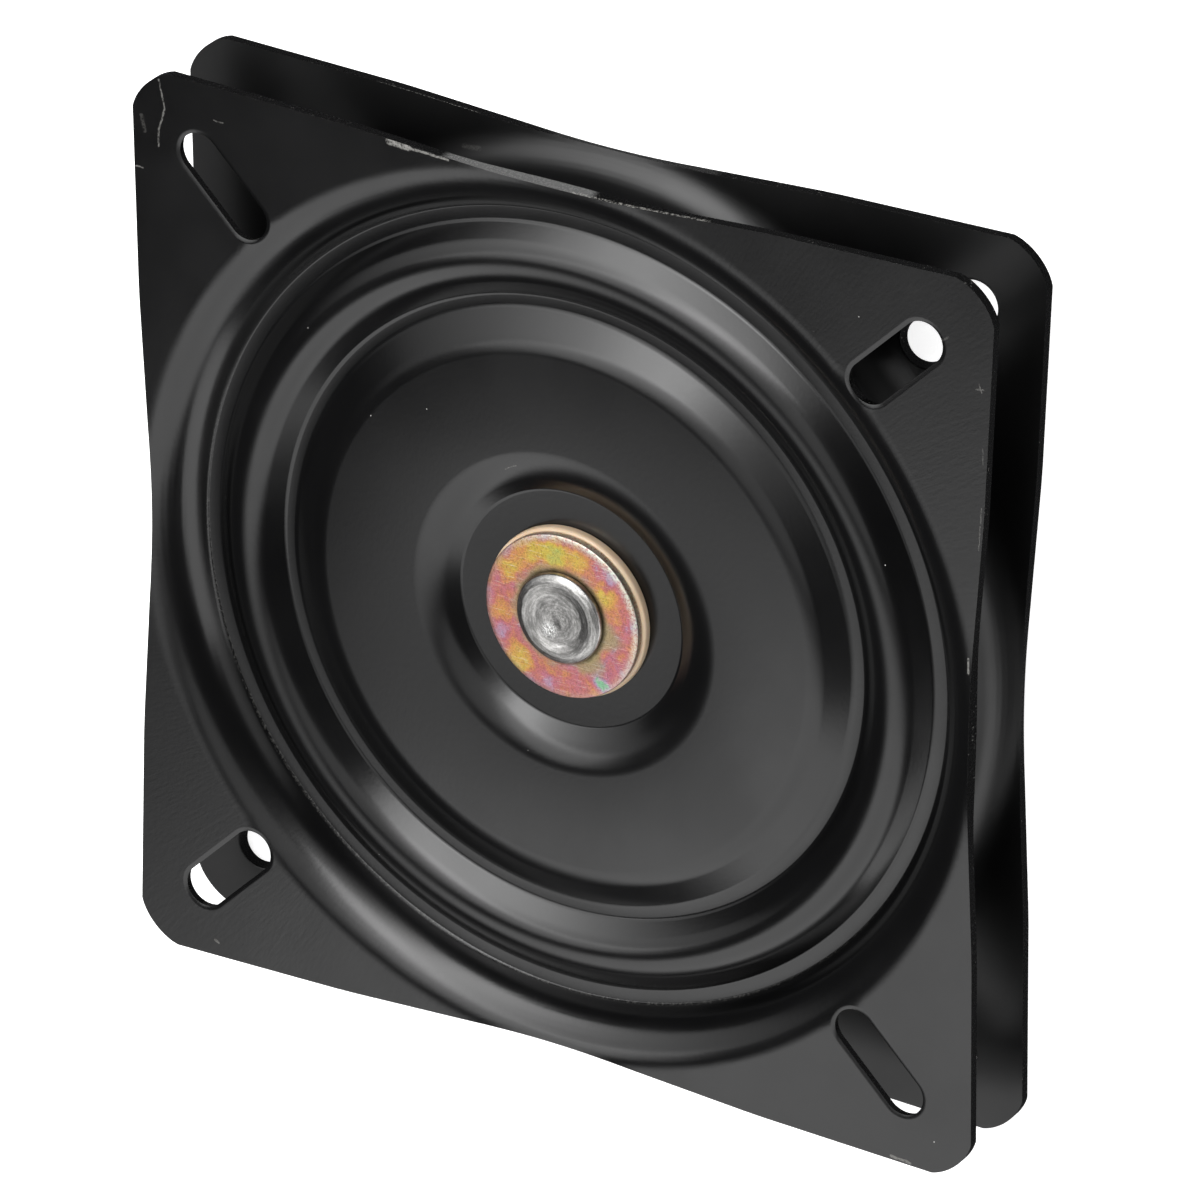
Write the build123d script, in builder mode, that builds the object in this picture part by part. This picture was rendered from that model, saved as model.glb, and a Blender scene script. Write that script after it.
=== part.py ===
"""Boat seat swivel: two pressed square plates that turn on a ring of caged balls about a centre rivet.

The swivel lies flat on its base plate. Z is the swivel axis, the base plate's mounting
corners stand on Z = 0, and the plates' sides run along X and Y. Millimetres.
"""

import os
from math import cos, radians, sqrt, tan

from build123d import *

# Square plates, drawn in a little at the middle of each side by the pressing
plate_side = 178.0
corner_reach = 8.1
corner_radius = 10.5
sheet = 2.0
draw_in = 3.7
draw_in_reach = 44.0
draw_in_radius = 260.0
shoulder_draw_in = 1.1
shoulder_radius = 120.0

# Mounting slots, one along each diagonal of a plate
slot_inset = 19.5
slot_travel = 14.5
slot_width = 8.2

# Balls and their track
ball_diameter = 9.525
ball_count = 16
ball_play = 0.1
pitch_radius = 68.1
groove_relief = 0.24
flank_angle = 38.0

# Pressed rings, measured on the plate's mounting face
floor_depth = 7.2
floor_gap = 2.6
valley_width = 2.5
valley_bend_radius = 3.0
plateau_rise = 2.9
plateau_slope_run = 6.4
plateau_bend_radius = 9.0
centre_ring_radius = 23.3
centre_slope_run = 5.2
centre_foot_radius = 3.0
centre_bend_radius = 6.0
bead_foot_radius = 1.3
rim_floor_width = 2.8
crease_bend_radius = 0.4
rim_wall_angle = 58.0
rim_bend_radius = 10.0

# Ball retainer
retainer_thickness = 1.4
retainer_width = 12.8
pocket_play = 0.2

# Rivet, with its factory head under the base plate and its formed head on top
shank_radius = 7.0
factory_head_radius = 13.0
factory_head_height = 4.2
factory_head_edge = 2.4
formed_head_radius = 9.0
formed_head_height = 1.7
formed_head_edge = 1.1
formed_rim_width = 2.25
formed_dish_run = 0.75
formed_dish_depth = 0.65

# Flanged bush in the seat plate, the washer on its flange and the washer between the plates
bush_wall = 2.2
bush_flange_radius = 16.6
bush_flange_thickness = 1.9
bush_flange_edge = 0.7
head_washer_radius = 16.0
head_washer_thickness = 1.6
head_washer_edge = 0.3
thrust_washer_radius = 19.0

# Clearances of the pivot
rivet_hole_play = 0.05
bush_running_play = 0.06
bush_seat_play = 0.03
bush_end_gap = 0.2
flange_running_play = 0.05
thrust_washer_play = 0.1
washer_bore_play = 0.2

# Heights up the stack, from the base plate's mounting plane
base_ring_top = floor_depth + sheet
seat_ring_under = base_ring_top + floor_gap
seat_ring_top = seat_ring_under + sheet
stack_height = seat_ring_top + floor_depth
mid_height = stack_height / 2
flange_top = seat_ring_top + bush_flange_thickness
washer_under = flange_top + flange_running_play
washer_top = washer_under + head_washer_thickness
formed_head_top = washer_top + formed_head_height
factory_head_under = floor_depth - factory_head_height

# The bead over the balls rises from the floors as far as the balls and their play need
flank = radians(flank_angle)
bead_rise = (ball_diameter + 2 * ball_play - floor_gap) / 2
bead_radius = ball_diameter / 2 + groove_relief + sheet
bead_peak = bead_rise + bead_radius * (1 / cos(flank) - 1)
bead_half_width = bead_peak / tan(flank)

# Radii and depths of the pressed rings, from the ball track outwards and inwards
rim_floor_radius = pitch_radius + bead_half_width
crease_radius = rim_floor_radius + rim_floor_width
rim_wall_radius = crease_radius + floor_depth / tan(radians(rim_wall_angle))
valley_outer_radius = pitch_radius - bead_half_width
valley_inner_radius = valley_outer_radius - valley_width
plateau_outer_radius = valley_inner_radius - plateau_slope_run
plateau_inner_radius = centre_ring_radius + centre_slope_run
plateau_depth = floor_depth - plateau_rise
bead_peak_depth = floor_depth - bead_peak

# Radii of the pivot's pieces
base_hole_radius = shank_radius + rivet_hole_play
bush_bore_radius = shank_radius + bush_running_play
sleeve_radius = bush_bore_radius + bush_wall
seat_hole_radius = sleeve_radius + bush_seat_play
washer_bore_radius = shank_radius + washer_bore_play
formed_rim_radius = formed_head_radius - formed_rim_width
formed_dish_radius = formed_rim_radius - formed_dish_run
formed_dish_bottom = formed_head_top - formed_dish_depth

# Outline of a plate: a corner cut by a punch, and the drawn-in side after it, turned to all four sides
side_count = 4
quarter_turn = 360 / side_count
half_side = plate_side / 2
corner = Vector(half_side, half_side)
shoulder = Vector(draw_in_reach, half_side - shoulder_draw_in)
side_middle = Vector(0, half_side - draw_in)
far_shoulder = Vector(-shoulder.X, shoulder.Y)
corner_end = corner + (shoulder - corner).normalized() * corner_reach
corner_start = Vector(corner_end.Y, corner_end.X)
far_corner_start = Vector(-corner_end.X, corner_end.Y)
side_points = [corner_end, shoulder, side_middle, far_shoulder, far_corner_start]
side_radii = [shoulder_radius, draw_in_radius, shoulder_radius]
slot_radius = (half_side - slot_inset) * sqrt(2)
first_diagonal = quarter_turn / 2
blank_radius = plate_side
sharp = 0

# The pressing that both plates are made from, mounting face down, before its centre hole
with BuildPart() as pressing:
    with BuildSketch(Plane.XZ):
        with BuildLine():
            FilletPolyline(
                (0, floor_depth),
                (centre_ring_radius, floor_depth),
                (plateau_inner_radius, plateau_depth),
                (plateau_outer_radius, plateau_depth),
                (valley_inner_radius, floor_depth),
                (valley_outer_radius, floor_depth),
                (pitch_radius, bead_peak_depth),
                (rim_floor_radius, floor_depth),
                (crease_radius, floor_depth),
                (rim_wall_radius, 0),
                (blank_radius, 0),
                radius=[
                    centre_foot_radius,
                    centre_bend_radius,
                    plateau_bend_radius,
                    valley_bend_radius,
                    bead_foot_radius,
                    bead_radius,
                    bead_foot_radius,
                    crease_bend_radius,
                    rim_bend_radius,
                ],
            )
            offset(amount=sheet, side=Side.LEFT)
        make_face()
    revolve(axis=Axis.Z)

    with BuildSketch(Plane.XY):
        with BuildLine():
            for side in range(side_count):
                turn = side * quarter_turn
                corner_ends = [point.rotate(Axis.Z, turn) for point in (corner_start, corner_end)]
                RadiusArc(*corner_ends, -corner_radius)
                FilletPolyline(*[point.rotate(Axis.Z, turn) for point in side_points], radius=side_radii)
        make_face()
    extrude(amount=stack_height, mode=Mode.INTERSECT)

    with BuildSketch(Plane.XY):
        with PolarLocations(slot_radius, side_count, start_angle=first_diagonal):
            SlotCenterToCenter(slot_travel, slot_width)
    extrude(amount=stack_height, mode=Mode.SUBTRACT)

# Base plate, bolted to the pedestal or the boat, with the rivet's hole
with BuildPart() as base_plate:
    add(pressing.part)
    with BuildSketch(Plane.XY):
        Circle(base_hole_radius)
    extrude(amount=stack_height, mode=Mode.SUBTRACT)

# Seat plate, the same pressing turned over, with the bush's hole
with BuildPart() as seat_plate:
    mirror(pressing.part, about=Plane.XY.offset(mid_height))
    with BuildSketch(Plane.XY):
        Circle(seat_hole_radius)
    extrude(amount=stack_height, mode=Mode.SUBTRACT)

# Bearing balls
with BuildPart() as bearing_balls:
    with Locations((0, 0, mid_height)):
        with PolarLocations(pitch_radius, ball_count):
            Sphere(ball_diameter / 2)

# Ball retainer, a flat ring with a pocket for each ball
with BuildPart() as ball_retainer:
    with BuildSketch(Plane.XY.offset(mid_height - retainer_thickness / 2)):
        Circle(pitch_radius + retainer_width / 2)
        Circle(pitch_radius - retainer_width / 2, mode=Mode.SUBTRACT)
        with PolarLocations(pitch_radius, ball_count):
            Circle(ball_diameter / 2 + pocket_play, mode=Mode.SUBTRACT)
    extrude(amount=retainer_thickness)

# Rivet: factory head, shank, and the head formed over the washer with its dished middle
with BuildPart() as rivet:
    with BuildSketch(Plane.XZ):
        with BuildLine():
            FilletPolyline(
                (0, factory_head_under),
                (factory_head_radius, factory_head_under),
                (factory_head_radius, floor_depth),
                (shank_radius, floor_depth),
                (shank_radius, washer_top),
                (formed_head_radius, washer_top),
                (formed_head_radius, formed_head_top),
                (formed_rim_radius, formed_head_top),
                (formed_dish_radius, formed_dish_bottom),
                (0, formed_dish_bottom),
                radius=[
                    factory_head_edge,
                    sharp,
                    sharp,
                    sharp,
                    sharp,
                    formed_head_edge,
                    sharp,
                    sharp,
                ],
            )
            Line((0, formed_dish_bottom), (0, factory_head_under))
        make_face()
    revolve(axis=Axis.Z)

# Flanged bush, a sleeve in the seat plate's hole with its flange on the plate's ring
with BuildPart() as flanged_bush:
    with BuildSketch(Plane.XZ):
        with BuildLine():
            FilletPolyline(
                (bush_bore_radius, seat_ring_under + bush_end_gap),
                (sleeve_radius, seat_ring_under + bush_end_gap),
                (sleeve_radius, seat_ring_top),
                (bush_flange_radius, seat_ring_top),
                (bush_flange_radius, flange_top),
                (bush_bore_radius, flange_top),
                radius=[sharp, sharp, sharp, sharp, bush_flange_edge, sharp],
                close=True,
            )
        make_face()
    revolve(axis=Axis.Z)

# Head washer, between the bush's flange and the rivet's formed head
with BuildPart() as head_washer:
    with BuildSketch(Plane.XZ):
        with BuildLine():
            FilletPolyline(
                (washer_bore_radius, washer_under),
                (head_washer_radius, washer_under),
                (head_washer_radius, washer_top),
                (washer_bore_radius, washer_top),
                radius=[sharp, sharp, head_washer_edge, sharp],
                close=True,
            )
        make_face()
    revolve(axis=Axis.Z)

# Thrust washer, which keeps the plates' centre rings apart
with BuildPart() as thrust_washer:
    with BuildSketch(Plane.XY.offset(base_ring_top)):
        Circle(thrust_washer_radius)
        Circle(washer_bore_radius, mode=Mode.SUBTRACT)
    extrude(amount=floor_gap - thrust_washer_play)

# Each piece is written under its own name
pieces = {
    "base_plate": base_plate,
    "seat_plate": seat_plate,
    "bearing_balls": bearing_balls,
    "ball_retainer": ball_retainer,
    "rivet": rivet,
    "flanged_bush": flanged_bush,
    "head_washer": head_washer,
    "thrust_washer": thrust_washer,
}
os.makedirs("parts", exist_ok=True)
for name, piece in pieces.items():
    piece.part.label = name
    export_step(piece.part, f"parts/{name}.step")
    print(name, piece.part.bounding_box().size, round(piece.part.volume))
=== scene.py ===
# %% [markdown]
# # A boat seat swivel
# The swivel is two pressed steel plates, painted black, that turn on a ring of balls about a
# centre rivet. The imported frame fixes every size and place. This lesson gives each piece the
# finish of the real one, and models again, finer, the pieces whose bends, cut edges and marks
# the camera comes close to.

# %% Load the frame
import math

import bmesh
import bpy
from mathutils import Matrix, Quaternion, Vector, noise


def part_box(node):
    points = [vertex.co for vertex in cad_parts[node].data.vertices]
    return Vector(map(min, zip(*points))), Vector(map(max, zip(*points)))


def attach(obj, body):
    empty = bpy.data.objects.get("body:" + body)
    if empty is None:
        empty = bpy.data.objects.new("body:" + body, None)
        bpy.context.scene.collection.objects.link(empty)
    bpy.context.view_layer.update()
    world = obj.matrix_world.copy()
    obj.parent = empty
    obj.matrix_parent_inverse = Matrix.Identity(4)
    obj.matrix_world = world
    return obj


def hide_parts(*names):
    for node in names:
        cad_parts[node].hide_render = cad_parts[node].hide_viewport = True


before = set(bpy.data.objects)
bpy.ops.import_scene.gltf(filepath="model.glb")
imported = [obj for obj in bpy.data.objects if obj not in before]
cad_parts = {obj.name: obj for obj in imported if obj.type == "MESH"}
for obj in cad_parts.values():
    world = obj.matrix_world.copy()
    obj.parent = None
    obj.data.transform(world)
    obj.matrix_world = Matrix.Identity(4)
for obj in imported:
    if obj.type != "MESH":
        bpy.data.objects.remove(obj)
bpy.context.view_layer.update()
mm = 0.001
print("nodes", sorted(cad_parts))

# %% [markdown]
# ## The camera
# A long lens looks at the seat plate from about 50 degrees above it, and the camera is rolled
# so that one corner of the plate points up and to the left. Azimuth, elevation and roll say this
# more plainly than a rotation matrix, so the matrix is built from them.

# %% Place the camera
photo_azimuth = math.radians(44.46)
photo_elevation = math.radians(50.12)
photo_roll = math.radians(126.41)
photo_distance = 1885.5 * mm
photo_lens = 313.85
aim = Vector((1.54, -4.01, 10.5)) * mm


def direction_to(azimuth, elevation):
    """The direction from the swivel to a place round it. Azimuth 0 is towards -Y, 90 degrees towards +X."""
    flat = math.cos(elevation)
    return Vector((math.sin(azimuth) * flat, -math.cos(azimuth) * flat, math.sin(elevation)))


def rolled_view(back, roll):
    """The rotation of a camera that looks along -back, rolled from upright towards its right."""
    upright = (Vector((0, 0, 1)) - back * back.z).normalized()
    side = upright.cross(back)
    up = upright * math.cos(roll) + side * math.sin(roll)
    return Matrix((up.cross(back), up, back)).transposed()


camera = bpy.data.objects.new("camera", bpy.data.cameras.new("camera"))
bpy.context.scene.collection.objects.link(camera)
bpy.context.scene.camera = camera
camera.data.lens = photo_lens
camera.data.sensor_width = 36
camera.data.clip_end = 100
to_camera = direction_to(photo_azimuth, photo_elevation)
camera.matrix_world = (
    Matrix.Translation(aim + to_camera * photo_distance) @ rolled_view(to_camera, photo_roll).to_4x4()
)
print("camera at", [round(value, 3) for value in camera.location])

# %% [markdown]
# ## Tools for nodes and objects
# Lights and finishes are both trees of nodes. A few short functions add a node, do sums with
# values and vectors, and turn a value into a colour. Two more start a material and an object.

# %% Make the node tools


def add_node(tree, kind, inputs=(), **options):
    """Add a node, set its options, and feed each input from a socket or with a plain value."""
    made = tree.nodes.new(kind)
    for option, value in options.items():
        setattr(made, option, value)
    for key, value in dict(inputs).items():
        if isinstance(value, bpy.types.NodeSocket):
            tree.links.new(value, made.inputs[key])
        else:
            made.inputs[key].default_value = value
    return made


def vector_made(tree, operation, first, second, third=(0, 0, 0)):
    """A sum or product of vectors."""
    inputs = {0: first, 1: second, 2: third}
    return add_node(tree, "ShaderNodeVectorMath", inputs, operation=operation).outputs["Vector"]


def measured(tree, operation, first, second):
    """A distance or dot product of two vectors."""
    inputs = {0: first, 1: second}
    return add_node(tree, "ShaderNodeVectorMath", inputs, operation=operation).outputs["Value"]


def math_value(tree, operation, first, second=0.0, third=0.0):
    """One sum, product or comparison of values."""
    made = add_node(tree, "ShaderNodeMath", {0: first, 1: second, 2: third}, operation=operation)
    return made.outputs["Value"]


def times(tree, first, second):
    """A product of two values."""
    return math_value(tree, "MULTIPLY", first, second)


def times_plus(tree, first, second, third):
    """A product of two values, and a third added to it."""
    return math_value(tree, "MULTIPLY_ADD", first, second, third)


def ramped(tree, value, *stops):
    """A colour for each value: the stops are pairs of a place from 0 to 1 and a colour."""
    made = add_node(tree, "ShaderNodeValToRGB", {"Fac": value})
    elements = made.color_ramp.elements
    while len(elements) < len(stops):
        elements.new(1.0)
    for element, (place, colour) in zip(elements, stops):
        element.position = place
        element.color = (*colour, 1)
    return made.outputs["Color"]


def new_material(name):
    """A material that holds a Principled shader and nothing else yet."""
    material = bpy.data.materials.new(name)
    material.use_nodes = True
    tree = material.node_tree
    tree.nodes.clear()
    shader = tree.nodes.new("ShaderNodeBsdfPrincipled")
    add_node(tree, "ShaderNodeOutputMaterial", {"Surface": shader.outputs["BSDF"]})
    return material, tree, shader


def new_object(name, bm, *materials):
    """Turn a bmesh into a smooth object at the origin, with these materials."""
    mesh = bpy.data.meshes.new(name)
    bm.to_mesh(mesh)
    bm.free()
    mesh.shade_smooth()
    for material in materials:
        mesh.materials.append(material)
    made = bpy.data.objects.new(name, mesh)
    bpy.context.scene.collection.objects.link(made)
    return made


print("node tools ready")

# %% [markdown]
# ## Soft light
# Black semi-gloss paint shows mostly what it reflects, so the lights decide how the pressing
# reads. A wide key softbox stands on the far side, with two dim ones above it, and an oval fill
# stands opposite. Two low boxes light the wall of the rear plate. The key and the fill fade
# towards their ends, because a box with an even face gives a hard edged reflection. Between them
# the room stays dark.

# %% Make a softbox


def softbox(name, azimuth, elevation, distance, width, height, radiance, roll=0.0, falloff=(), disc=False):
    """A light that faces the swivel, with its power worked out from the radiance of its face.

    falloff gives pairs of a place and the share of the radiance there. The place runs from 0 to 1
    across the width of a rectangle, or from the middle of a disc to its rim."""
    lamp = bpy.data.lights.new(name, "AREA")
    lamp.shape = "ELLIPSE" if disc else "RECTANGLE"
    lamp.size = width
    lamp.size_y = height
    lamp.energy = radiance * math.pi * width * height
    if disc:
        lamp.energy *= math.pi / 4
    if falloff:
        lamp.use_nodes = True
        tree = lamp.node_tree
        across = add_node(tree, "ShaderNodeNewGeometry").outputs["Parametric"]
        if disc:
            level = vector_made(tree, "MULTIPLY", across, (1, 1, 0))
            place = times(tree, measured(tree, "DISTANCE", level, (0.5, 0.5, 0)), 2.0)
        else:
            place = add_node(tree, "ShaderNodeSeparateXYZ", {"Vector": across}).outputs["X"]
        share = ramped(tree, place, *[(position, (level, level, level)) for position, level in falloff])
        tree.links.new(share, tree.nodes["Emission"].inputs["Strength"])
    made = bpy.data.objects.new(name, lamp)
    outward = direction_to(math.radians(azimuth), math.radians(elevation))
    facing = (-outward).to_track_quat("-Z", "Y") @ Quaternion((0, 0, 1), math.radians(roll))
    made.location = outward * distance
    made.rotation_euler = facing.to_euler()
    made.visible_camera = False
    bpy.context.scene.collection.objects.link(made)


print("softbox ready")

# %% [markdown]
# ## The floor
# The floor is plain and nearly white, with a little glow of its own so that it stays pale under
# the plates. It is left out of the reflections, because the edges in the photo mirror a dark
# surround and not a white table.

# %% Lay the floor
floor_size = 8.0
floor_glow = 0.8
floor_paper, _, floor_shader = new_material("floor_paper")
floor_shader.inputs["Base Color"].default_value = (0.86, 0.86, 0.86, 1)
floor_shader.inputs["Roughness"].default_value = 0.9
floor_shader.inputs["Specular IOR Level"].default_value = 0.1
floor_shader.inputs["Emission Color"].default_value = (1, 1, 1, 1)
floor_shader.inputs["Emission Strength"].default_value = floor_glow
bm = bmesh.new()
bmesh.ops.create_grid(bm, x_segments=1, y_segments=1, size=floor_size / 2)
floor = new_object("floor", bm, floor_paper)
floor.visible_glossy = False
print("floor", floor.name)

# %% [markdown]
# ## The studio
# Each softbox is given by its azimuth and elevation in degrees, its distance and size in metres,
# its radiance and its roll.

# %% Place the softboxes
key_falloff = [
    (0.14, 0.0),
    (0.24, 0.12),
    (0.30, 0.21),
    (0.36, 0.43),
    (0.43, 0.82),
    (0.48, 1.0),
    (0.55, 0.82),
    (0.62, 0.48),
    (0.70, 0.27),
    (0.80, 0.16),
    (1.0, 0.04),
]
fill_falloff = [
    (0.0, 0.8),
    (0.58, 0.95),
    (0.68, 1.1),
    (0.72, 1.0),
    (0.78, 0.44),
    (0.88, 0.18),
    (1.0, 0.04),
]
softbox("key_softbox", 110, 54, 1.2, 3.2, 0.86, 6.6, 8, key_falloff)
softbox("upper_softbox", 130, 73, 1.3, 1.5, 0.4, 2.3)
softbox("top_softbox", 180, 86, 1.5, 0.8, 0.8, 0.8)
softbox("fill_softbox", 262, 46, 1.4, 1.76, 1.27, 2.0, -2, fill_falloff, disc=True)
softbox("low_fill_softbox", 325, 18, 1.5, 2.0, 0.9, 2.0, 4)
softbox("low_side_softbox", 18, 12, 1.5, 1.0, 0.5, 0.9)
world = bpy.data.worlds.new("studio")
world.use_nodes = True
world.node_tree.nodes["Background"].inputs["Color"].default_value = (0.05, 0.05, 0.052, 1)
bpy.context.scene.world = world
bpy.context.scene.view_settings.view_transform = "Standard"
print("lights", [item.name for item in bpy.data.lights])

# %% [markdown]
# ## The pressed section
# Both plates are one pressing: from the centre outwards a flat ring, a plateau, a valley, the
# bead over the balls, a narrow floor, a crisp crease and the wall, which curves out all the way
# up to the corners. A line of a few points says it, and a vertex bevel rounds each bend.

# %% Draw the section
plate_side = 178 * mm
sheet = 2 * mm
floor_depth = 7.2 * mm
plateau_depth = 4.3 * mm
centre_ring_radius = 23.3 * mm
plateau_inner_radius = 28.5 * mm
plateau_outer_radius = 52.23 * mm
valley_inner_radius = 58.63 * mm
valley_outer_radius = 61.13 * mm
bead_radius = 68.1 * mm
bead_peak_depth = 1.75 * mm
bead_floor_radius = 75.07 * mm
crease_radius = 77.87 * mm
wall_angle = math.radians(58)
wall_radius = crease_radius + floor_depth / math.tan(wall_angle)
flat_reach = 130 * mm
centre_foot_bend = 1.2 * mm
centre_bend = 13 * mm
plateau_bend = 9 * mm
valley_bend = 3 * mm
bead_foot_bend = 1.3 * mm
bead_bend = 7 * mm
crease_bend = 0.4 * mm
wall_bend = 10 * mm
arc_steps = 8


def round_corner(bm, vertex, radius, steps):
    """Round one corner of a line or an outline to an arc."""
    before, after = [edge.other_vert(vertex).co - vertex.co for edge in vertex.link_edges]
    turn = math.pi - before.angle(after)
    bmesh.ops.bevel(
        bm,
        geom=[vertex],
        offset=radius * math.tan(turn / 2),
        offset_type="OFFSET",
        segments=steps,
        profile=0.5,
        affect="VERTICES",
        material=-1,
    )


def rounded_line(points, radii, steps=arc_steps):
    """A line through (radius, height) points in the XZ plane. An inner corner with radius 0 stays sharp."""
    bm = bmesh.new()
    corners = [bm.verts.new((across, 0, up)) for across, up in points]
    for start, end in zip(corners, corners[1:]):
        bm.edges.new((start, end))
    for corner, radius in zip(corners[1:-1], radii):
        if radius:
            round_corner(bm, corner, radius, steps)
    return bm


def walk(bm):
    """The points of a line in order, from the end where the drawing of it began."""
    bm.verts.ensure_lookup_table()
    ends = [vertex for vertex in bm.verts if len(vertex.link_edges) == 1]
    here = min(ends, key=lambda vertex: vertex.co.x)
    passed = set()
    points = [here.co.copy()]
    while True:
        onward = [edge for edge in here.link_edges if edge not in passed]
        if not onward:
            return points
        passed.add(onward[0])
        here = onward[0].other_vert(here)
        points.append(here.co.copy())


section_line = rounded_line(
    [
        (0, floor_depth),
        (centre_ring_radius, floor_depth),
        (plateau_inner_radius, plateau_depth),
        (plateau_outer_radius, plateau_depth),
        (valley_inner_radius, floor_depth),
        (valley_outer_radius, floor_depth),
        (bead_radius, bead_peak_depth),
        (bead_floor_radius, floor_depth),
        (crease_radius, floor_depth),
        (wall_radius, 0),
        (flat_reach, 0),
    ],
    [
        centre_foot_bend,
        centre_bend,
        plateau_bend,
        valley_bend,
        bead_foot_bend,
        bead_bend,
        bead_foot_bend,
        crease_bend,
        wall_bend,
    ],
)
section = [(point.x, point.z) for point in walk(section_line)]
section_line.free()
print("section points", len(section))

# %% [markdown]
# ## The outline
# Drawing the rings pulls the middle of each side in by about 3 mm, which makes the outline a
# square with hollow sides. A corner punch took the corners off in arcs that meet the sides at a
# slight angle. A few points a side and vertex bevels give it, and the long stretches are divided
# so that the rings inside can follow it.

# %% Draw the outline
draw_in = 3.7 * mm
draw_in_reach = 44 * mm
draw_in_bend = 260 * mm
shoulder_draw_in = 1.1 * mm
shoulder_bend = 120 * mm
corner_reach = 8.1 * mm
corner_radius = 10.5 * mm
arc_share = 0.995
edge_step = 2.6 * mm
side_count = 4


def punched_corner(corner_end):
    """A corner's cut from one side to the next: its two ends and the point where their tangents meet."""
    corner_start = Vector((corner_end.y, corner_end.x, 0))
    middle = (corner_start + corner_end) / 2
    half_chord = (corner_end - middle).length
    rise = half_chord * math.tan(math.asin(half_chord / corner_radius))
    return corner_start, middle + middle.normalized() * rise, corner_end


def plate_outline():
    """A bmesh with one face, the plate's outline in the XY plane."""
    half = plate_side / 2
    corner = Vector((half, half, 0))
    shoulder = Vector((draw_in_reach, half - shoulder_draw_in, 0))
    far_shoulder = Vector((-shoulder.x, shoulder.y, 0))
    start, peak, end = punched_corner(corner + (shoulder - corner).normalized() * corner_reach)
    side = [
        (start, 0, 0),
        (peak, corner_radius * arc_share, 14),
        (end, 0, 0),
        (shoulder, shoulder_bend, 4),
        (Vector((0, half - draw_in, 0)), draw_in_bend, 12),
        (far_shoulder, shoulder_bend, 4),
    ]
    bm = bmesh.new()
    corners = []
    for quarter in range(side_count):
        turn = Matrix.Rotation(quarter * math.tau / side_count, 3, "Z")
        corners += [(bm.verts.new(turn @ point), radius, steps) for point, radius, steps in side]
    bm.faces.new([corner for corner, _, _ in corners])
    for corner, radius, steps in corners:
        if radius:
            round_corner(bm, corner, radius, steps)
    bmesh.ops.remove_doubles(bm, verts=bm.verts[:], dist=edge_step / 50)
    for edge in bm.edges[:]:
        cuts = int(edge.calc_length() / edge_step)
        if cuts:
            bmesh.ops.subdivide_edges(bm, edges=[edge], cuts=cuts)
    return bm


outline = plate_outline()
print("outline points", len(outline.verts))
outline.free()

# %% [markdown]
# ## The plates
# A spun disc cut to a square would leave slivers along the cut. So the mesh grows the other way,
# from the outline inwards: the outline is inset for a strip along the edge, and then extruded
# ring by ring to the crease and on down the section to the centre hole. The flat corners are
# filled again round their slots, whose edges dip a little where the punch rolled them in.
# Solidify gives the sheet its thickness, square to its face as a sheared edge is, and puts the
# cut edges in the second material. Bevel takes the sharpness off them, and puts the rounded
# rims in the third, where the paint is thin and a painted highlight runs along them.

# %% Set the plate's sizes and shape
rim_strip = 0.8 * mm
wall_rings = 22
corner_rings = 3
flat_radius = 88.4 * mm
flat_blend = 8 * mm
slot_square = 139 * mm
slot_travel = 14.5 * mm
slot_width = 8.2 * mm
slot_roll = 0.6 * mm
slot_roll_depth = 0.16 * mm
slot_strip = 0.3 * mm
slot_steps = 48
slot_window = math.radians(20)
slot_notch = math.radians(4.2)
slot_notch_radius = 85.3 * mm
cut_edge_round = 0.25 * mm
cut_edge_angle = math.radians(60)


def smooth_step(value):
    """0 below 0, 1 above 1, and a soft rise between."""
    share = min(max(value, 0), 1)
    return share * share * (3 - 2 * share)


def pressed_depth(point):
    """How far the mounting face lies below the plane of the corners at a point."""
    reach = math.hypot(point.x, point.y)
    depth = 0.0
    for (near, near_depth), (far, far_depth) in zip(section, section[1:]):
        if near <= reach <= far:
            share = (reach - near) / (far - near) if far > near else 0
            depth = near_depth + (far_depth - near_depth) * share
            break
    return depth


def round_the_slot(point):
    """Whether a point lies on a corner's flat, or where the slot's inner end cuts the start of the bend."""
    off_diagonal = abs(math.atan2(abs(point.y), abs(point.x)) - math.pi / 4)
    reach = point.length
    on_flat = off_diagonal < slot_window and reach > flat_radius - edge_step / 100
    return on_flat or (off_diagonal < slot_notch and reach > slot_notch_radius)


def flange_radius(reach, ring):
    """Where a ring lies between the edge strip, at reach, and the crease."""
    rings = corner_rings + wall_rings
    even = reach + (crease_radius - reach) * ring / rings
    if reach <= flat_radius:
        return even
    if ring <= corner_rings:
        zoned = reach + (flat_radius - reach) * ring / corner_rings
    else:
        zoned = flat_radius + (crease_radius - flat_radius) * (ring - corner_rings) / wall_rings
    return even + (zoned - even) * smooth_step((reach - flat_radius) / flat_blend)


print("floor depth in mm", round(pressed_depth(Vector((bead_floor_radius, 0, 0))) / mm, 2))

# %% [markdown]
# ## Rings and slots
# One function extrudes a loop of edges to a new radius. A slot is three loops: its cut edge, the
# lip that the punch rolled in, and a strip that keeps the flat round it even.

# %% Make the rings and the slots


def extrude_ring(bm, loop, radius_of):
    """Extrude a loop of edges and put each new vertex at its new radius. Returns the new loop."""
    made = bmesh.ops.extrude_edge_only(bm, edges=loop)["geom"]
    fresh = {item for item in made if isinstance(item, bmesh.types.BMVert)}
    for vertex in fresh:
        vertex.co *= radius_of(vertex) / vertex.co.length
    return [item for item in made if isinstance(item, bmesh.types.BMEdge) and fresh.issuperset(item.verts)]


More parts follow.
